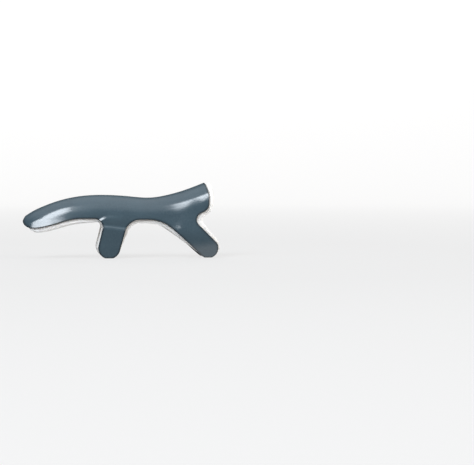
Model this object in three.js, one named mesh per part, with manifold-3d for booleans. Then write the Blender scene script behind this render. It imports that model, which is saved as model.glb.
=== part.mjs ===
// Spoon finger splint: a stamped aluminium trough that lies along the back of a finger, with a
// drooping spoon end over the fingertip, a pair of short tabs beside the middle joint and a pair of
// longer straps that slant back and tuck under the base of the finger. A sheet of white foam is
// glued inside. Millimetres, +Z up, +X from the fingertip to the knuckle, standing on its four legs.
import * as THREE from "three";
import { mergeVertices } from "three/addons/utils/BufferGeometryUtils.js";
import Module from "manifold-3d";

const wasm = await Module();
wasm.setup();

// Sheet thicknesses
const METAL = 1.0;
const FOAM = 3.0;
const GLUE_GAP = 0.3;

// The trough, a row for each section from the fingertip to the knuckle.
// x: place along the finger, counted from the tip. crest: height of the back line above the table.
// arch: radius of the rounded back. flank: slope of the side below it, in degrees from flat.
// hem: height at which a leg starts to bend. The first and last rows lie outside the trimmed part.
const SECTIONS = [
  { x: -3, crest: 13.2, arch: 3.2, flank: 72, hem: 8 },
  { x: 0, crest: 18.0, arch: 4.4, flank: 72, hem: 9 },
  { x: 5, crest: 22.0, arch: 7.0, flank: 74, hem: 11 },
  { x: 14, crest: 25.85, arch: 9.0, flank: 76, hem: 13 },
  { x: 27, crest: 28.9, arch: 10.1, flank: 76, hem: 15.5 },
  { x: 40, crest: 29.4, arch: 10.5, flank: 76, hem: 16 },
  { x: 50, crest: 28.75, arch: 10.5, flank: 76, hem: 16 },
  { x: 59.5, crest: 28.15, arch: 10.4, flank: 77, hem: 16 },
  { x: 68, crest: 29.45, arch: 11.0, flank: 80, hem: 16.5 },
  { x: 78, crest: 32.4, arch: 12.0, flank: 83, hem: 17 },
  { x: 86, crest: 35.5, arch: 12.7, flank: 85, hem: 17.5 },
  { x: 93, crest: 38.0, arch: 13.0, flank: 86, hem: 18 },
];

// Legs bend from the flank to their own slope: the tabs hang upright, the straps tuck under.
const TAB_BEND = { radius: 5, slope: 90 };
const STRAP_BEND = { radius: 18, slope: 118 };
const BEND_CHANGE = { from: 50, to: 66 }; // the bend passes from one to the other between these x

// Side outline of the metal and of the foam: a nose, a rising edge under the bowl, then a belt that
// runs round circles (x, z, r). It passes under a +1 circle and over a -1 circle.
const METAL_OUTLINE = {
  tip: { x: 0, z: 17.8 },
  chin: { x: 4.5, z: 14.15 },
  brow: { x: 27, z: 18.55 },
  belt: [
    { name: "tab front fillet", x: 32.9, z: 14.6, r: 3.9, turn: -1 },
    { name: "tab end", x: 39.9, z: 4.9, r: 5.2, turn: 1 },
    { name: "arch beside the tab", x: 54.3, z: 10.6, r: 7.3, turn: -1 },
    { name: "arch beside the strap", x: 58.5, z: 2.0, r: 15.9, turn: -1 },
    { name: "strap end", x: 85.9, z: 4.75, r: 5.05, turn: 1 },
    { name: "notch", x: 84.4, z: 18.1, r: 3.3, turn: -1 },
    { name: "collar corner", x: 82.0, z: 25.7, r: 4.5, turn: 1 },
  ],
  rim: { bulge: 0.5, top: 85.7 },
};
const FOAM_OUTLINE = {
  tip: { x: 1.4, z: 17.0 },
  chin: { x: 5.6, z: 12.75 },
  brow: { x: 27, z: 17.0 },
  belt: [
    { name: "tab front fillet", x: 33.95, z: 14.2, r: 2.8, turn: -1 },
    { name: "tab end", x: 39.9, z: 4.9, r: 5.2, turn: 1 },
    { name: "arch beside the tab", x: 54.3, z: 10.6, r: 5.8, turn: -1 },
    { name: "arch beside the strap", x: 58.5, z: 2.0, r: 14.4, turn: -1 },
    { name: "strap end", x: 85.9, z: 4.75, r: 5.05, turn: 1 },
    { name: "notch", x: 86.2, z: 18.0, r: 2.4, turn: -1 },
    { name: "collar corner", x: 82.9, z: 25.0, r: 4.6, turn: 1 },
  ],
  rim: { bulge: 0.5, top: 86.9 },
};

// Faceting
const STATIONS = 40; // sections along the sheet
const COLUMNS = 40; // strips across it
const GIRTH = 47; // from the back line to the sheet's edge, past the longest leg
const ARC_STEP = 0.22; // radians between points of the outline's arcs
const NOSE_STEPS = 10; // pieces of each curve from the tip to the bowl's edge
const RIM_STEPS = 6;
const OUTLINE_TOP = 60;
const SIDE_REACH = 40; // half the depth of the trimming prism
const WELD = 1e-4; // points closer than this are one

const radians = THREE.MathUtils.degToRad;

// Natural cubic spline through one column of the section table.
function column(name) {
  const xs = SECTIONS.map((row) => row.x);
  const ys = SECTIONS.map((row) => row[name]);
  const last = xs.length - 1;
  const bend = new Array(xs.length).fill(0);
  const carry = new Array(xs.length).fill(0);
  for (let i = 1; i < last; i++) {
    const before = xs[i] - xs[i - 1];
    const after = xs[i + 1] - xs[i];
    const rise = (ys[i + 1] - ys[i]) / after - (ys[i] - ys[i - 1]) / before;
    const pivot = 2 * (before + after) - before * carry[i - 1];
    carry[i] = after / pivot;
    bend[i] = (6 * rise - before * bend[i - 1]) / pivot;
  }
  for (let i = last - 1; i > 0; i--) bend[i] -= carry[i] * bend[i + 1];
  return (x) => {
    let i = 0;
    while (i < last - 1 && x > xs[i + 1]) i++;
    const width = xs[i + 1] - xs[i];
    const a = (xs[i + 1] - x) / width;
    const b = 1 - a;
    const curve = (a ** 3 - a) * bend[i] + (b ** 3 - b) * bend[i + 1];
    return a * ys[i] + b * ys[i + 1] + (curve * width ** 2) / 6;
  };
}
const crest = column("crest");
const arch = column("arch");
const flank = column("flank");
const hem = column("hem");

// One side of the section at x, from the back line down, as runs of arc and line.
function runs(x) {
  const radius = arch(x);
  const slope = radians(flank(x));
  const spring = crest(x) - radius * (1 - Math.cos(slope));
  const share = THREE.MathUtils.smoothstep(x, BEND_CHANGE.from, BEND_CHANGE.to);
  const bend = THREE.MathUtils.lerp(TAB_BEND.radius, STRAP_BEND.radius, share);
  const legSlope = radians(THREE.MathUtils.lerp(TAB_BEND.slope, STRAP_BEND.slope, share));
  return [
    { length: radius * slope, turn: 1 / radius },
    { length: (spring - hem(x)) / Math.sin(slope), turn: 0 },
    { length: bend * (legSlope - slope), turn: 1 / bend },
    { length: Infinity, turn: 0 },
  ];
}

// Point of the metal's outer face, girth millimetres from the back line along the section at x.
function face(x, girth) {
  let left = Math.abs(girth);
  let angle = 0;
  let out = 0;
  let drop = 0;
  for (const run of runs(x)) {
    const step = Math.min(left, run.length);
    const next = angle + step * run.turn;
    if (run.turn) {
      out += (Math.sin(next) - Math.sin(angle)) / run.turn;
      drop += (Math.cos(angle) - Math.cos(next)) / run.turn;
    } else {
      out += step * Math.cos(angle);
      drop += step * Math.sin(angle);
    }
    angle = next;
    left -= step;
  }
  return new THREE.Vector3(x, Math.sign(girth) * out, crest(x) - drop);
}

// The same point moved inwards, square to the face.
function inside(x, girth, depth) {
  const nudge = 0.05;
  const along = face(x + nudge, girth).sub(face(x - nudge, girth));
  const across = face(x, girth + nudge).sub(face(x, girth - nudge));
  return face(x, girth).addScaledVector(along.cross(across).normalize(), -depth);
}

// A closed solid from a geometry that holds only positions.
function solid(geometry) {
  const bare = geometry.clone();
  bare.deleteAttribute("normal");
  bare.deleteAttribute("uv");
  const merged = mergeVertices(bare, WELD);
  return new wasm.Manifold(
    new wasm.Mesh({
      numProp: 3,
      vertProperties: new Float32Array(merged.attributes.position.array),
      triVerts: new Uint32Array(merged.index.array),
    }),
  );
}

// The untrimmed sheet between two depths under the metal's outer face: a grid of stations and
// strips for each face, joined round the edge.
function formedSheet(outerDepth, innerDepth) {
  const xs = SECTIONS.map((row) => row.x);
  const start = xs[0];
  const end = xs[xs.length - 1];
  const wide = COLUMNS + 1;
  const points = [];
  for (const depth of [outerDepth, innerDepth])
    for (let i = 0; i <= STATIONS; i++)
      for (let j = 0; j <= COLUMNS; j++) {
        const x = THREE.MathUtils.lerp(start, end, i / STATIONS);
        const girth = GIRTH * ((2 * j) / COLUMNS - 1);
        points.push(...inside(x, girth, depth).toArray());
      }
  const inner = wide * (STATIONS + 1);
  const faces = [];
  const quad = (a, b, c, d) => faces.push(a, b, c, a, c, d);
  for (let i = 0; i < STATIONS; i++)
    for (let j = 0; j < COLUMNS; j++) {
      const a = i * wide + j;
      quad(a, a + wide, a + wide + 1, a + 1);
      quad(inner + a, inner + a + 1, inner + a + wide + 1, inner + a + wide);
    }
  for (let i = 0; i < STATIONS; i++) {
    const left = i * wide;
    const right = left + COLUMNS;
    quad(left, inner + left, inner + left + wide, left + wide);
    quad(right, right + wide, inner + right + wide, inner + right);
  }
  for (let j = 0; j < COLUMNS; j++) {
    const far = STATIONS * wide + j;
    quad(j, j + 1, inner + j + 1, inner + j);
    quad(far, inner + far, inner + far + 1, far + 1);
  }
  const geometry = new THREE.BufferGeometry();
  geometry.setAttribute("position", new THREE.Float32BufferAttribute(points, 3));
  geometry.setIndex(faces);
  return solid(geometry);
}

// Directions, as angles, from two circles' centres to the line that the belt runs along between them.
function tangent(a, b) {
  const heading = Math.atan2(b.z - a.z, b.x - a.x);
  const apart = Math.hypot(b.x - a.x, b.z - a.z);
  const lean = Math.asin((b.turn * b.r - a.turn * a.r) / apart);
  const travel = heading - lean;
  return { leave: travel - (a.turn * Math.PI) / 2, arrive: travel - (b.turn * Math.PI) / 2 };
}

// Points round one circle of the belt: anticlockwise on a +1 circle, clockwise on a -1 circle.
function arcPoints(circle, from, to) {
  const full = 2 * Math.PI;
  const sweep = ((((to - from) * circle.turn) % full) + full) % full;
  const steps = Math.max(2, Math.ceil(sweep / ARC_STEP));
  const points = [];
  for (let i = 0; i <= steps; i++) {
    const angle = from + (circle.turn * sweep * i) / steps;
    const z = circle.z + circle.r * Math.sin(angle);
    const onTable = Math.max(z, 0); // the feet are flat
    points.push(new THREE.Vector2(circle.x + circle.r * Math.cos(angle), onTable));
  }
  return points;
}

// The side outline as a shape: nose, edge of the bowl, belt, rim, and far above the crest.
function outline({ tip, chin, brow, belt, rim }) {
  const path = new THREE.Path();
  const pull = (brow.x - chin.x) / 3;
  path.moveTo(tip.x, OUTLINE_TOP);
  path.lineTo(tip.x, tip.z);
  path.absellipse(chin.x, tip.z, chin.x - tip.x, tip.z - chin.z, Math.PI, 1.5 * Math.PI, false, 0);
  path.bezierCurveTo(chin.x + pull, chin.z, brow.x - pull, brow.z, brow.x, brow.z);
  const points = path.getPoints(NOSE_STEPS);
  const last = belt.length - 1;
  belt.forEach((circle, i) => {
    const from = i ? tangent(belt[i - 1], circle).arrive : Math.PI / 2;
    const to = i < last ? tangent(circle, belt[i + 1]).leave : 0;
    points.push(...arcPoints(circle, from, to));
  });
  const corner = belt[last];
  const rimStart = new THREE.Vector2(corner.x + corner.r, corner.z);
  const rimEnd = new THREE.Vector2(rim.top, crest(rim.top));
  const rimBulge = new THREE.Vector2(rimStart.x + rim.bulge, (rimStart.y + rimEnd.y) / 2);
  const rimCurve = new THREE.QuadraticBezierCurve(rimStart, rimBulge, rimEnd);
  points.push(...rimCurve.getPoints(RIM_STEPS).slice(1));
  points.push(new THREE.Vector2(rim.top, OUTLINE_TOP));
  return new THREE.Shape(points);
}

// The sheet trimmed to its side outline, both sides at once.
function trimmed(sheet, shape) {
  const prism = new THREE.ExtrudeGeometry(shape, { depth: 2 * SIDE_REACH, bevelEnabled: false });
  prism.rotateX(Math.PI / 2).translate(0, SIDE_REACH, 0);
  const mesh = sheet.intersect(solid(prism)).getMesh();
  const geometry = new THREE.BufferGeometry();
  geometry.setAttribute("position", new THREE.BufferAttribute(mesh.vertProperties, 3));
  geometry.setIndex(new THREE.BufferAttribute(mesh.triVerts, 1));
  geometry.computeVertexNormals();
  return geometry;
}

function piece(name, outlineOf, outerDepth, innerDepth, look) {
  const geometry = trimmed(formedSheet(outerDepth, innerDepth), outline(outlineOf));
  const mesh = new THREE.Mesh(geometry, new THREE.MeshStandardMaterial(look));
  mesh.name = name;
  return mesh;
}

const paintedMetal = { color: 0x55697a, roughness: 0.28, metalness: 0.1 };
const whiteFoam = { color: 0xf1efec, roughness: 0.95, metalness: 0 };
const foamTop = METAL + GLUE_GAP;

const splint = new THREE.Group();
splint.add(piece("shell", METAL_OUTLINE, 0, METAL, paintedMetal));
splint.add(piece("foam_pad", FOAM_OUTLINE, foamTop, foamTop + FOAM, whiteFoam));

// The origin lies on the table under the middle of the splint's length.
const strapEnd = METAL_OUTLINE.belt.find((circle) => circle.name === "strap end");
splint.position.x = -(METAL_OUTLINE.tip.x + strapEnd.x + strapEnd.r) / 2;

export default splint;
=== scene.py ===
import math

import bpy
import numpy as np
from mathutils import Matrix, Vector
from mathutils.geometry import delaunay_2d_cdt


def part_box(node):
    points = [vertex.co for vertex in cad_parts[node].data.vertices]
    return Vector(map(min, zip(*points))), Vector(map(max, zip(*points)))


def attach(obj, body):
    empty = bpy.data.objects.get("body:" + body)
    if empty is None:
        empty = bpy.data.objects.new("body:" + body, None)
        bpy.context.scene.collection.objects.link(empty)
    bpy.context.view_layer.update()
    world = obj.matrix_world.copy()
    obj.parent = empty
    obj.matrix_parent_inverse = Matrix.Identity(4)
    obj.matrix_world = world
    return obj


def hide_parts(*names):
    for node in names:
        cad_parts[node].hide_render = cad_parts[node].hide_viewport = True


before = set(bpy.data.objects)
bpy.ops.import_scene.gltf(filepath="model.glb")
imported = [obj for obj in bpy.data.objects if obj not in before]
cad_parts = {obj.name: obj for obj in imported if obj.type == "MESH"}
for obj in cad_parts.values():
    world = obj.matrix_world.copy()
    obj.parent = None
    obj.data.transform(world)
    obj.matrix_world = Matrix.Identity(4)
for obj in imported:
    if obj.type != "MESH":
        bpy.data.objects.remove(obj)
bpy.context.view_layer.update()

# Shell
# One aluminium sheet, blanked flat and pressed into a trough with a drooping spoon end, a flared
# collar and two pairs of legs bent down from its edges. Its coat covers the faces and the cut edge.
MM = 0.001
SHEET = 1.0  # thickness, in millimetres as all sizes here are
SHEET_EDGE = (0.34, 0.34)  # how far the coat rounds the outer and the inner corner of the edge
LENGTH = (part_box("shell")[1].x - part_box("shell")[0].x) / MM
TIP_PLACE = np.array([-LENGTH / 2, 0.0, 0.0])  # the tables count x from the tip

# A row for each section: place, height of the back line, radius of the back, slope of the flank in
# degrees, and the height at which a leg starts to bend.
SECTIONS = np.array(
    [
        (0.0, 17.3, 3.3, 72.0, 9.0),
        (0.6, 18.6, 4.05, 72.2, 9.25),
        (2.2, 20.3, 5.45, 72.7, 9.9),
        (5.0, 22.0, 7.0, 74.0, 11.0),
        (9.0, 23.9, 8.3, 75.5, 12.1),
        (14.0, 25.85, 9.0, 76.0, 13.0),
        (27.0, 28.9, 10.1, 78.0, 15.5),
        (40.0, 29.4, 10.8, 96.0, 15.8),
        (50.0, 28.75, 10.8, 93.0, 15.0),
        (59.5, 28.15, 10.45, 86.0, 16.0),
        (66.0, 29.0, 10.75, 82.5, 16.4),
        (71.0, 30.2, 11.25, 82.0, 16.6),
        (74.5, 31.2, 11.65, 82.2, 16.8),
        (78.0, 32.4, 11.9, 83.0, 17.0),
        (82.0, 33.9, 12.0, 84.0, 17.2),
        (86.0, 35.5, 12.2, 85.0, 17.5),
        (93.0, 38.0, 12.35, 86.0, 18.0),
    ],
    dtype=[("x", float), ("crest", float), ("arch", float), ("flank", float), ("hem", float)],
)
TAB_BEND = (1.5, math.radians(98))  # radius of a tab's bend, and its slope after it
STRAP_BEND = (18.0, math.radians(118))  # the same for a strap
BEND_CHANGE = (50.0, 66.0)  # from the tab's bend to the strap's between these x
FOLD = (1.3, math.radians(46))  # the fold line at a tab's root: length and turn of each half
FOLD_REACH = (30.0, 37.0, 50.0, 58.0)  # it is full between the inner two of these x
ROOT_STEP = (0.5, 2.2)  # a tab's root stands proud of the flank: height and width of the step
ROOT_LINE = (19.4, 40.2, 0.075)  # the step's line: its level, the x up to which it curves, and how much
ROOT_FADE = (39.0, 48.0)  # the step is full up to the first of these x, and gone at the second
SWELL = (0.38, 74.0, 12.4, 3.9)  # the swelling at a strap's root: height, x, z and reach
LONGEST_GIRTH = 60.0  # a walk round the section that is longer than any section
SHELL_SPACING = 0.4  # of the mesh's points

# The belt that the side outline follows: it runs under a +1 circle and over a -1 circle.
CIRCLE = [("x", float), ("z", float), ("r", float), ("turn", float)]
SHELL_OUTLINE = {
    "tip": (0.0, 17.1),
    "chin": (4.5, 14.15),
    "brow": (27.0, 18.55),
    "belt": np.array(
        [
            (32.9, 14.6, 3.9, -1),  # fillet in front of the tab
            (39.9, 4.9, 5.2, 1),  # end of the tab
            (54.3, 10.6, 7.3, -1),  # arch beside the tab
            (58.5, 2.0, 15.9, -1),  # arch beside the strap
            (86.3, 4.3, 4.6, 1),  # end of the strap
            (83.9, 18.0, 3.3, -1),  # notch
            (82.0, 25.7, 4.5, 1),  # corner of the collar
        ],
        dtype=CIRCLE,
    ),
    "rim_bulge": 0.5,
    "rim_top": 85.2,
}


def spline(xs, ys):
    """Natural cubic spline: straight blend of two neighbours plus a cubic share of their bends."""
    width = np.diff(xs)
    turn = 6 * np.diff(np.diff(ys) / width)
    matrix = np.diag(2 * (width[:-1] + width[1:])) + np.diag(width[1:-1], 1) + np.diag(width[1:-1], -1)
    bend = np.zeros(len(xs))
    bend[1:-1] = np.linalg.solve(matrix, turn)

    def at(x):
        i = np.clip(np.searchsorted(xs, x) - 1, 0, len(width) - 1)
        a = (xs[i + 1] - x) / width[i]
        b = 1 - a
        cubic = (a**3 - a) * bend[i] + (b**3 - b) * bend[i + 1]
        return a * ys[i] + b * ys[i + 1] + cubic * width[i] ** 2 / 6

    return at


crest = spline(SECTIONS["x"], SECTIONS["crest"])
arch = spline(SECTIONS["x"], SECTIONS["arch"])
flank = spline(SECTIONS["x"], SECTIONS["flank"])
hem = spline(SECTIONS["x"], SECTIONS["hem"])


def smooth_step(t):
    """Rises from 0 to 1 with level ends: 3t squared less 2t cubed."""
    t = np.clip(t, 0, 1)
    return t * t * (3 - 2 * t)


def stretches(x, pressed):
    """The section's stretches at x as pairs of length and turn: back, flank, the two halves of the fold
    line, the leg's bend and the leg. The fold shows only where the sheet was pressed against the die."""
    start, full, fade, end = FOLD_REACH
    tab = smooth_step((x - start) / (full - start)) * smooth_step((end - x) / (end - fade))
    strap = smooth_step((x - BEND_CHANGE[0]) / (BEND_CHANGE[1] - BEND_CHANGE[0]))
    slope = np.radians(flank(x))
    spring = crest(x) - arch(x) * (1 - np.cos(slope))
    bend_radius = TAB_BEND[0] + strap * (STRAP_BEND[0] - TAB_BEND[0])
    bend_turn = TAB_BEND[1] + strap * (STRAP_BEND[1] - TAB_BEND[1]) - slope
    fold = FOLD[1] * tab * pressed
    return (
        (arch(x) * slope, slope),
        ((spring - hem(x)) / np.sin(slope), 0.0),
        (FOLD[0], -fold),
        (FOLD[0], fold),
        (bend_radius * bend_turn, bend_turn),
        (LONGEST_GIRTH, 0.0),
    )


def root_step(x, z):
    """How proud a tab's root stands of the flank: a smooth step across a line in the side view that curves
    up from the tab's front edge as a parabola, and fades towards the middle of the trough."""
    height, width = ROOT_STEP
    top, curve_end, curl = ROOT_LINE
    full, gone = ROOT_FADE
    line = top - curl * np.maximum(curve_end - x, 0) ** 2
    return height * smooth_step((line - z) / width + 0.5) * smooth_step((gone - x) / (gone - full))


def strap_swell(x, z):
    """A low swelling where a strap turns out of the trough: a Gaussian of the distance in the side view."""
    height, middle_x, middle_z, reach = SWELL
    return height * np.exp(-(((x - middle_x) ** 2 + (z - middle_z) ** 2) / reach**2))


def face(x, girth, pressed):
    """Outer face of the formed sheet: at x, walk girth round the section from the back line. A stretch
    turns evenly, so a walk t that turns by d moves t sin(d/2) / (d/2) at its middle slope. What was
    pressed against the die also stands proud along its normal at a tab's and a strap's root."""
    walk = np.abs(girth)
    out, drop, slope = np.zeros_like(walk), np.zeros_like(walk), np.zeros_like(walk)
    for length, turn in stretches(x, pressed):
        step = np.clip(walk, 0, length)
        turned = turn * step / length
        chord = step * np.sinc(turned / (2 * math.pi))
        out += chord * np.cos(slope + turned / 2)
        drop += chord * np.sin(slope + turned / 2)
        slope += turned
        walk = np.maximum(walk - length, 0)
    height = crest(x) - drop
    proud = pressed * (root_step(x, height) + strap_swell(x, height))
    out += proud * np.sin(slope)
    drop -= proud * np.cos(slope)
    return np.stack([x, np.sign(girth) * out, crest(x) - drop], axis=-1)


def unit(vectors):
    """Each vector divided by its length."""
    return vectors / np.linalg.norm(vectors, axis=-1, keepdims=True)


def slopes(x, girth, pressed, nudge=0.02):
    """Change of the face with x and with girth, by a small step each way."""
    along = face(x + nudge, girth, pressed) - face(x - nudge, girth, pressed)
    across = face(x, girth + nudge, pressed) - face(x, girth - nudge, pressed)
    return along / (2 * nudge), across / (2 * nudge)


def outward(x, girth, pressed):
    """Normal of the outer face: along cross across."""
    return unit(np.cross(*slopes(x, girth, pressed)))


def girth_at(x, z, pressed, halvings=40):
    """How far round the section the height z lies, found by halving: the face falls as girth grows."""
    low = np.zeros_like(x)
    high = np.full_like(x, LONGEST_GIRTH)
    for _ in range(halvings):
        middle = (low + high) / 2
        below = face(x, middle, pressed)[..., 2] < z
        high = np.where(below, middle, high)
        low = np.where(below, low, middle)
    return (low + high) / 2


def belt_points(belt, steps=60):
    """The belt's arcs in order. Between two circles it runs along the line that touches both: their
    heading turned by the arcsine of the difference of their signed radii over their distance."""
    signed = belt["r"] * belt["turn"]
    gap_x, gap_z = np.diff(belt["x"]), np.diff(belt["z"])
    travel = np.arctan2(gap_z, gap_x) - np.arcsin(np.diff(signed) / np.hypot(gap_x, gap_z))
    arrive = np.concatenate([[0.0], travel]) - belt["turn"] * math.pi / 2
    leave = np.concatenate([travel, [math.pi / 2]]) - belt["turn"] * math.pi / 2
    sweep = np.mod((leave - arrive) * belt["turn"], 2 * math.pi) * belt["turn"]
    angle = arrive[:, None] + sweep[:, None] * np.linspace(0, 1, steps)
    x = belt["x"][:, None] + belt["r"][:, None] * np.cos(angle)
    z = belt["z"][:, None] + belt["r"][:, None] * np.sin(angle)
    return x.ravel(), np.maximum(z, 0).ravel()  # the feet are flat on the table


def side_outline(form, steps=60):
    """Half the edge seen from the side: down the tip, a quarter ellipse to the chin, a smooth rise to
    the brow, the belt, and a bulging rim up to the back line."""
    t = np.linspace(0, 1, steps)
    (tip_x, tip_z), (chin_x, chin_z), (brow_x, brow_z) = form["tip"], form["chin"], form["brow"]
    nose_x = chin_x - (chin_x - tip_x) * np.cos(t * math.pi / 2)
    nose_z = tip_z - (tip_z - chin_z) * np.sin(t * math.pi / 2)
    bowl_x = chin_x + (brow_x - chin_x) * t
    bowl_z = chin_z + (brow_z - chin_z) * smooth_step(t)
    belt_x, belt_z = belt_points(form["belt"])
    rim_x, rim_z = form["rim_top"], crest(form["rim_top"])
    bulge_x, bulge_z = belt_x[-1] + form["rim_bulge"], (belt_z[-1] + rim_z) / 2
    up_x = (1 - t) ** 2 * belt_x[-1] + 2 * t * (1 - t) * bulge_x + t**2 * rim_x
    up_z = (1 - t) ** 2 * belt_z[-1] + 2 * t * (1 - t) * bulge_z + t**2 * rim_z
    x = np.concatenate([[tip_x], nose_x, bowl_x, belt_x, up_x])
    z = np.concatenate([[crest(tip_x)], nose_z, bowl_z, belt_z, up_z])
    return x, z


def spread(places, values, spacing):
    """Values at even steps of the length walked through places."""
    walked = np.concatenate([[0.0], np.cumsum(np.linalg.norm(np.diff(places, axis=0), axis=1))])
    even = np.linspace(0, walked[-1], max(3, round(walked[-1] / spacing)))
    return np.stack([np.interp(even, walked, column) for column in values], axis=0)


def edge_loop(form, pressed, spacing):
    """x and girth round the whole outline, tip to rim on one side and back on the other, evenly
    spaced on the formed sheet."""
    outline = side_outline(form)
    fine_spacing = spacing / 8
    x, z = spread(np.stack(outline, axis=1), outline, fine_spacing)
    girth = girth_at(x, z, pressed)
    girth[[0, -1]] = 0
    x, girth = spread(face(x, girth, pressed), (x, girth), spacing)
    return np.concatenate([x, x[-2:0:-1]]), np.concatenate([girth, -girth[-2:0:-1]])


def enclosed(points, loop):
    """Which points lie inside a closed loop: a ray from each crosses its sides an odd number of times."""
    a, b = loop, np.roll(loop, -1, axis=0)
    px, py = points[:, :1], points[:, 1:]
    spans = (a[:, 1] > py) != (b[:, 1] > py)
    with np.errstate(divide="ignore", invalid="ignore"):
        crossing = a[:, 0] + (py - a[:, 1]) * (b[:, 0] - a[:, 0]) / (b[:, 1] - a[:, 1])
    return (spans & (px < crossing)).sum(axis=1) % 2 == 1


def distance_to(points, places, parts=40):
    """Distance from each point to the nearest of the places, worked out in parts to spare memory."""
    return np.concatenate(
        [np.sqrt(((part[:, None] - places) ** 2).sum(-1).min(1)) for part in np.array_split(points, parts)]
    )


def trimmed_sheet(name, form, pressed, top, thickness, corners, spacing):
    """A closed sheet on the formed face, from depth top to top + thickness(x). Its edge is a profile of
    two rounded corners carried round the outline. Each face is the surface face(x, girth) less depth
    times its normal, on a grid of x and girth kept inside the edge, and triangles join grid to edge.
    Its attribute "edge" is how far a point lies from the outline, in millimetres."""
    x, girth = edge_loop(form, pressed, spacing)
    place = face(x, girth, pressed)
    tangent = unit(np.roll(place, -1, axis=0) - np.roll(place, 1, axis=0))
    inward = unit(np.cross(tangent, outward(x, girth, pressed)))
    stretch = np.stack(slopes(x, girth, pressed), axis=-1)
    metric = np.einsum("lki,lkj->lij", stretch, stretch)
    pull = np.einsum("lki,lk->li", stretch, inward)
    inset_step = np.linalg.solve(metric, pull[..., None])[..., 0]  # of x and girth, for a millimetre inward

    quarter = np.linspace(0, math.pi / 2, 6)
    outer, inner = corners
    inset = np.concatenate([outer * (1 - np.sin(quarter)), inner * (1 - np.cos(quarter))])
    fall = np.concatenate([outer * (1 - np.cos(quarter)), -inner * (1 - np.sin(quarter))])
    under = np.repeat([0.0, 1.0], len(quarter))
    up = np.concatenate([np.cos(quarter), -np.sin(quarter)])
    out = np.concatenate([np.sin(quarter), np.cos(quarter)])
    rounds = np.stack([x, girth], axis=-1) + inset[:, None, None] * inset_step
    round_normal = outward(rounds[..., 0], rounds[..., 1], pressed)
    depth = top + fall[:, None] + under[:, None] * thickness(rounds[..., 0])
    edge = face(rounds[..., 0], rounds[..., 1], pressed) - depth[..., None] * round_normal
    edge_normal = up[:, None, None] * round_normal - out[:, None, None] * inward

    ring = rounds[0]
    along = np.arange(x.min(), x.max(), spacing)
    across = np.arange(girth.min(), girth.max(), spacing)
    grid = np.stack(np.meshgrid(along, across), axis=-1).reshape(-1, 2)
    grid = grid[enclosed(grid, ring)]
    clear_of_edge = 0.6 * spacing + max(inner - outer, 0)  # so that no sliver is made beside it
    grid = grid[distance_to(grid, ring) > clear_of_edge]

    flat = np.concatenate([ring, grid])
    loop = np.arange(len(ring))
    sides = np.stack([loop, np.roll(loop, -1)], axis=1)
    inside_only, merge_distance = 1, 1e-7
    made = delaunay_2d_cdt([Vector(p) for p in flat], sides.tolist(), [], inside_only, merge_distance)
    _, _, made_faces, made_from, _, _ = made
    source = np.array([group[0] for group in made_from])
    triangles = source[np.array(made_faces)]

    grid_normal = outward(grid[:, 0], grid[:, 1], pressed)
    grid_top = face(grid[:, 0], grid[:, 1], pressed) - top * grid_normal
    grid_under = grid_top - thickness(grid[:, 0])[:, None] * grid_normal
    layers = [edge.reshape(-1, 3), grid_top, grid_under]
    normals = np.concatenate([edge_normal.reshape(-1, 3), grid_normal, -grid_normal])
    count = len(ring)
    rows = len(inset)
    first_grid = count * rows
    on_ring = triangles < count
    top_faces = np.where(on_ring, triangles, triangles - count + first_grid)
    under_faces = np.where(
        on_ring, triangles + (rows - 1) * count, triangles - count + first_grid + len(grid)
    )[:, ::-1]
    here = np.arange(rows - 1)[:, None] * count + loop
    after = np.arange(rows - 1)[:, None] * count + np.roll(loop, -1)
    strip = np.stack([here, after, after + count, here + count], axis=-1).reshape(-1, 4)

    mesh = bpy.data.meshes.new(name)
    places = (np.concatenate(layers) + TIP_PLACE) * MM
    mesh.from_pydata(places.tolist(), [], top_faces.tolist() + under_faces.tolist() + strip.tolist())
    mesh.shade_smooth()
    mesh.normals_split_custom_set_from_vertices(normals.tolist())
    from_edge = np.concatenate([np.repeat(inset, count), *[distance_to(grid, ring) + outer] * 2])
    mesh.attributes.new("edge", "FLOAT", "POINT").data.foreach_set("value", from_edge.astype(np.float32))
    piece = bpy.data.objects.new(name, mesh)
    bpy.context.scene.collection.objects.link(piece)
    return piece


def sheet_thickness(x):
    """The sheet's thickness, the same at every x."""
    return np.full_like(x, SHEET)


shell = trimmed_sheet(
    "coated_shell",
    SHELL_OUTLINE,
    pressed=1.0,
    top=0.0,
    thickness=sheet_thickness,
    corners=SHEET_EDGE,
    spacing=SHELL_SPACING,
)


def linear(code):
    """An sRGB hex colour as linear red, green, blue and alpha 1: the sRGB curve undone."""
    shade = np.array([int(code[i : i + 2], 16) for i in (1, 3, 5)]) / 255
    shade = np.where(shade <= 0.04045, shade / 12.92, ((shade + 0.055) / 1.055) ** 2.4)
    return (*shade.tolist(), 1.0)


def add_node(tree, kind, settings, *links):
    """Adds a node, sets its properties and sockets, and makes links of (socket, source node, output)."""
    node = tree.nodes.new(kind)
    for name, value in settings.items():
        socket = next((s for s in node.inputs if s.identifier == name), None)
        if socket:
            socket.default_value = value
        else:
            setattr(node, name, value)
    for name, source, output in links:
        target = next(s for s in node.inputs if s.identifier == name)
        tree.links.new(next(s for s in source.outputs if s.identifier == output), target)
    return node


def empty_tree(material):
    """The material's node tree, cleared."""
    material.use_nodes = True
    material.node_tree.nodes.clear()
    return material.node_tree


def size_scale(millimetres):
    """Scale of a noise on Object coordinates in metres whose lumps are about this wide."""
    return 1 / (millimetres * MM)


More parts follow.
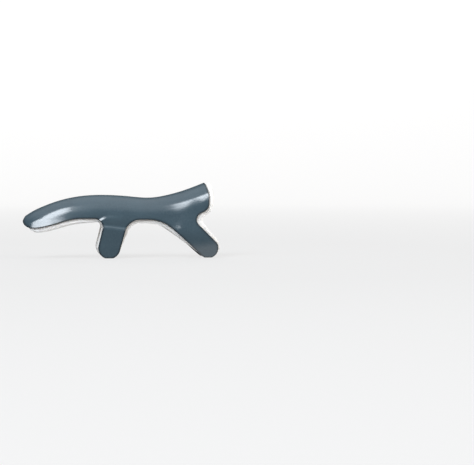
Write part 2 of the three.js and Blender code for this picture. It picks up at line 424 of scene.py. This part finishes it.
# Baked coat on pressed aluminium: a smooth grey-blue film with clear highlights, a faint orange peel,
# fine pale flecks and a slight unevenness of tone, and painted shade that darkens it near the edge. The
# orange peel and the flecks are drawn coarser than life to show.
coat = bpy.data.materials.new("baked_coat_on_aluminium")
tree = empty_tree(coat)
where = add_node(tree, "ShaderNodeTexCoord", {})
tone = add_node(
    tree,
    "ShaderNodeTexNoise",
    {"Scale": size_scale(9), "Detail": 1.0},
    ("Vector", where, "Object"),
)
fleck = add_node(
    tree,
    "ShaderNodeTexNoise",
    {"Scale": size_scale(0.8), "Detail": 1.0},
    ("Vector", where, "Object"),
)
cloudy = add_node(
    tree,
    "ShaderNodeMix",
    {"data_type": "RGBA", "A_Color": linear("#3c4c56"), "B_Color": linear("#465862")},
    ("Factor_Float", tone, "Fac"),
)
flecked = add_node(
    tree,
    "ShaderNodeMapRange",
    {"From Min": 0.35, "From Max": 0.75, "To Min": 0.0, "To Max": 0.22},
    ("Value", fleck, "Fac"),
)
coloured = add_node(
    tree,
    "ShaderNodeMix",
    {"data_type": "RGBA", "B_Color": linear("#56676f")},
    ("A_Color", cloudy, "Result_Color"),
    ("Factor_Float", flecked, "Result"),
)
# Painted shade: within about a millimetre of the cut edge the coat's colour is mixed towards near black,
# where the edge turns away from the light.
rim = add_node(tree, "ShaderNodeAttribute", {"attribute_name": "edge"})
edge_shade_share = add_node(
    tree,
    "ShaderNodeMapRange",
    {"From Min": 0.1, "From Max": 1.1, "To Min": 0.85, "To Max": 0.0},
    ("Value", rim, "Fac"),
)
# Painted shade: the near-black colour that the coat is darkened with at the edge.
edge_shaded = add_node(
    tree,
    "ShaderNodeMix",
    {"data_type": "RGBA", "B_Color": linear("#1c2327")},
    ("A_Color", coloured, "Result_Color"),
    ("Factor_Float", edge_shade_share, "Result"),
)
polish = add_node(
    tree,
    "ShaderNodeMapRange",
    {"From Min": 0.3, "From Max": 0.7, "To Min": 0.13, "To Max": 0.17},
    ("Value", tone, "Fac"),
)
peel = add_node(
    tree,
    "ShaderNodeTexNoise",
    {"Scale": size_scale(1.8), "Detail": 2.0},
    ("Vector", where, "Object"),
)
peel_bump = add_node(
    tree,
    "ShaderNodeBump",
    {"Strength": 0.25, "Distance": 0.02 * MM},
    ("Height", peel, "Fac"),
)
film = add_node(
    tree,
    "ShaderNodeBsdfPrincipled",
    {"IOR": 1.7},
    ("Base Color", edge_shaded, "Result_Color"),
    ("Roughness", polish, "Result"),
    ("Normal", peel_bump, "Normal"),
)
add_node(tree, "ShaderNodeOutputMaterial", {}, ("Surface", film, "BSDF"))
shell.data.materials.append(coat)
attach(shell, "root")
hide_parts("shell")

# Foam pad
# One die-cut lining of white closed-cell foam, glued inside the whole sheet. It is cut a little
# larger than the sheet, so that a soft white edge shows beside the metal.
FOAM = 3.3  # thickness with the glue taken up
FOAM_EDGE = (0.5, 0.9)  # how far its outer and its inner corner are rounded
FOAM_AT_TIP = 0.62  # share of the thickness left where it is squeezed into the spoon end
FOAM_SQUEEZE = (1.0, 15.0)  # the x up to which that share is left, and the x from which it is whole
FOAM_SPACING = 0.5  # of the mesh's points
FOAM_OUTLINE = {
    "tip": (1.4, 17.0),
    "chin": (5.6, 12.75),
    "brow": (27.0, 17.0),
    "belt": np.array(
        [  # the circles of the shell's belt, in the same order
            (33.95, 14.2, 2.8, -1),
            (39.9, 4.9, 5.2, 1),
            (54.3, 10.6, 5.8, -1),
            (58.5, 2.0, 14.4, -1),
            (86.9, 4.3, 4.6, 1),
            (85.5, 18.0, 2.4, -1),
            (83.5, 25.1, 4.7, 1),
        ],
        dtype=CIRCLE,
    ),
    "rim_bulge": 0.5,
    "rim_top": 87.2,
}


def foam_thickness(x):
    """Full thickness, less where the spoon end squeezes it: a smooth rise from the one to the other."""
    squeezed, whole = FOAM_SQUEEZE
    return FOAM * (FOAM_AT_TIP + (1 - FOAM_AT_TIP) * smooth_step((x - squeezed) / (whole - squeezed)))


foam = trimmed_sheet(
    "foam_lining",
    FOAM_OUTLINE,
    pressed=0.0,
    top=SHEET,
    thickness=foam_thickness,
    corners=FOAM_EDGE,
    spacing=FOAM_SPACING,
)

# Closed-cell polyethylene foam: matt warm white, light glowing a little way in, with fine cells.
# The cells are drawn about 0.7 mm wide, coarser than life, to show.
cells = bpy.data.materials.new("closed_cell_white_foam")
tree = empty_tree(cells)
where = add_node(tree, "ShaderNodeTexCoord", {})
bubble = add_node(
    tree,
    "ShaderNodeTexVoronoi",
    {"feature": "SMOOTH_F1", "Scale": size_scale(0.7), "Smoothness": 0.4},
    ("Vector", where, "Object"),
)
shade = add_node(
    tree,
    "ShaderNodeTexNoise",
    {"Scale": size_scale(5), "Detail": 3.0},
    ("Vector", where, "Object"),
)
warm = add_node(
    tree,
    "ShaderNodeMix",
    {"data_type": "RGBA", "A_Color": linear("#e8e5e2"), "B_Color": linear("#f2f0ed")},
    ("Factor_Float", shade, "Fac"),
)
cell_bump = add_node(
    tree,
    "ShaderNodeBump",
    {"Strength": 0.35, "Distance": 0.12 * MM},
    ("Height", bubble, "Distance"),
)
body = add_node(
    tree,
    "ShaderNodeBsdfPrincipled",
    {
        "Roughness": 0.9,
        "IOR": 1.45,
        "Subsurface Weight": 1.0,
        "Subsurface Radius": (1.0, 1.0, 1.0),
        "Subsurface Scale": 2.0 * MM,
    },
    ("Base Color", warm, "Result_Color"),
    ("Normal", cell_bump, "Normal"),
)
add_node(tree, "ShaderNodeOutputMaterial", {}, ("Surface", body, "BSDF"))
foam.data.materials.append(cells)
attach(foam, "root")
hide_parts("foam_pad")

# Studio
# A wide sheet of white paper that is flat under the splint and rises all round it to a lit wall. Only
# the camera sees it, as if flags stood beside the splint, so the coat's edges stay dark.
FLAT_REACH, WALL_REACH, WALL_HEIGHT = 1.2, 6.0, 3.0  # metres
PAPER_POINTS = 121  # along each side of its mesh
side = np.linspace(-WALL_REACH, WALL_REACH, PAPER_POINTS)
paper_x, paper_y = np.meshgrid(side, side)


def paper_height(x, y):
    """Flat near the middle, then a smooth rise with the distance from it."""
    return WALL_HEIGHT * smooth_step((np.hypot(x, y) - FLAT_REACH) / (WALL_REACH - FLAT_REACH))


paper_places = np.stack([paper_x, paper_y, paper_height(paper_x, paper_y)], axis=-1).reshape(-1, 3)
cell = np.arange(PAPER_POINTS - 1)
corner = (cell[:, None] * PAPER_POINTS + cell).reshape(-1, 1)
paper_faces = corner + np.array([0, 1, PAPER_POINTS + 1, PAPER_POINTS])
paper_mesh = bpy.data.meshes.new("paper_sheet")
paper_mesh.from_pydata(paper_places.tolist(), [], paper_faces.tolist())
paper_mesh.shade_smooth()
paper = bpy.data.objects.new("paper_sheet", paper_mesh)
bpy.context.scene.collection.objects.link(paper)
paper.visible_glossy = False
paper.visible_diffuse = False
paper.visible_shadow = False

# White paper, plain and matt. It is lit through from behind, and more so towards the wall.
white_paper = bpy.data.materials.new("white_paper")
tree = empty_tree(white_paper)
where = add_node(tree, "ShaderNodeTexCoord", {})
away = add_node(tree, "ShaderNodeVectorMath", {"operation": "LENGTH"}, ("Vector", where, "Object"))
glow = add_node(
    tree,
    "ShaderNodeMapRange",
    {"From Min": 0.2, "From Max": 2.5, "To Min": 0.68, "To Max": 0.9},
    ("Value", away, "Value"),
)
sheet = add_node(
    tree,
    "ShaderNodeBsdfPrincipled",
    {
        "Base Color": linear("#626262"),
        "Roughness": 1.0,
        "Specular IOR Level": 0.0,
        "Emission Color": (1.0, 1.0, 1.0, 1.0),
    },
    ("Emission Strength", glow, "Result"),
)
add_node(tree, "ShaderNodeOutputMaterial", {}, ("Surface", sheet, "BSDF"))
paper_mesh.materials.append(white_paper)

# The room is light overhead, and from the paper below, and dim at the horizon.
room = bpy.data.worlds.new("soft_room")
bpy.context.scene.world = room
tree = empty_tree(room)
where = add_node(tree, "ShaderNodeTexCoord", {})
split = add_node(tree, "ShaderNodeSeparateXYZ", {}, ("Vector", where, "Generated"))
steep = add_node(tree, "ShaderNodeMath", {"operation": "ABSOLUTE"}, ("Value", split, "Z"))
light = add_node(
    tree,
    "ShaderNodeMapRange",
    {"interpolation_type": "SMOOTHSTEP", "From Min": 0.5, "To Min": 0.1, "To Max": 1.0},
    ("Value", steep, "Value"),
)
bounce = add_node(
    tree,
    "ShaderNodeMapRange",
    {"From Min": -1.0, "From Max": 1.0, "To Min": 1.3, "To Max": 0.83},
    ("Value", split, "Z"),
)
both = add_node(
    tree,
    "ShaderNodeMath",
    {"operation": "MULTIPLY"},
    ("Value", light, "Result"),
    ("Value_001", bounce, "Result"),
)
air = add_node(tree, "ShaderNodeBackground", {"Color": linear("#f6f8fa")}, ("Strength", both, "Value"))
add_node(tree, "ShaderNodeOutputWorld", {}, ("Surface", air, "Background"))


def way_to(azimuth, height):
    """Unit direction from the splint: azimuth in degrees from the front towards the collar end, and
    height in degrees above the table."""
    turn, rise = np.radians(azimuth), np.radians(height)
    return np.stack([np.sin(turn) * np.cos(rise), -np.cos(turn) * np.cos(rise), np.sin(rise)], axis=-1)


# One tall window of soft light in front and to the spoon end, wide at its sill and leaning away at its
# top. It gives the long highlights on the bowl and the collar. Its corners are azimuths and heights.
LIGHTS_AWAY = 2.5  # metres
WINDOW = np.array([(-17.5, 20), (-17.5, 42), (-21.5, 51), (-32, 65), (-43, 66), (-42, 38), (-60, 21)])
window_mesh = bpy.data.meshes.new("window")
window_mesh.from_pydata((LIGHTS_AWAY * way_to(*WINDOW.T)).tolist(), [], [range(len(WINDOW))])
window = bpy.data.objects.new("window", window_mesh)
bpy.context.scene.collection.objects.link(window)
window.visible_camera = False
window_light = bpy.data.materials.new("window_light")
tree = empty_tree(window_light)
glow = add_node(tree, "ShaderNodeEmission", {"Color": linear("#f1f8ff"), "Strength": 11.5})
add_node(tree, "ShaderNodeOutputMaterial", {}, ("Surface", glow, "Emission"))
window_mesh.materials.append(window_light)

# Two weaker round lamps light the lining's rim beside the collar, and the far side, where a screen
# keeps the lamp itself out of the coat's reflections. A disc's power is its radiance times pi times its
# area.
LAMP_WIDTH = 2.7  # metres
for name, azimuth, height, radiance, mirrored in (
    ("side_fill", 70, 20, 3.7, True),
    ("back_fill", 180, 15, 3.6, False),
):
    fill = bpy.data.lights.new(name, "AREA")
    fill.shape = "DISK"
    fill.size = LAMP_WIDTH
    fill.energy = radiance * (math.pi * LAMP_WIDTH / 2) ** 2
    fill.color = linear("#fffaf5")[:3]
    lamp = bpy.data.objects.new(name, fill)
    lamp.location = LIGHTS_AWAY * Vector(way_to(azimuth, height))
    lamp.rotation_euler = lamp.location.to_track_quat("Z", "Y").to_euler()
    lamp.visible_glossy = mirrored
    bpy.context.scene.collection.objects.link(lamp)

# Camera
# A long lens level with the splint and a little to its spoon end, aimed beside it, so that it stands
# left of the middle as in the photograph.
AZIMUTH, ELEVATION = math.radians(-7), math.radians(2)
AWAY = 0.9  # metres
PICTURE = (474, 465)  # width and height in pixels
PIXEL = 0.47 * MM  # what a pixel spans at the splint
ORIGIN_AT = (120.0, 257.5)  # the pixel where the splint's origin falls
level = math.cos(ELEVATION)
back = Vector((math.sin(AZIMUTH) * level, -math.cos(AZIMUTH) * level, math.sin(ELEVATION)))
right = Vector((math.cos(AZIMUTH), math.sin(AZIMUTH), 0))
up = back.cross(right)
aim = (right * (PICTURE[0] / 2 - ORIGIN_AT[0]) + up * (ORIGIN_AT[1] - PICTURE[1] / 2)) * PIXEL
lens = bpy.data.cameras.new("camera")
lens.sensor_width = 36
lens.lens = lens.sensor_width * AWAY / (PICTURE[0] * PIXEL)
camera = bpy.data.objects.new("camera", lens)
camera.location = aim + back * AWAY
camera.rotation_euler = back.to_track_quat("Z", "Y").to_euler()
bpy.context.scene.collection.objects.link(camera)
bpy.context.scene.camera = camera
bpy.context.scene.view_settings.view_transform = "Standard"
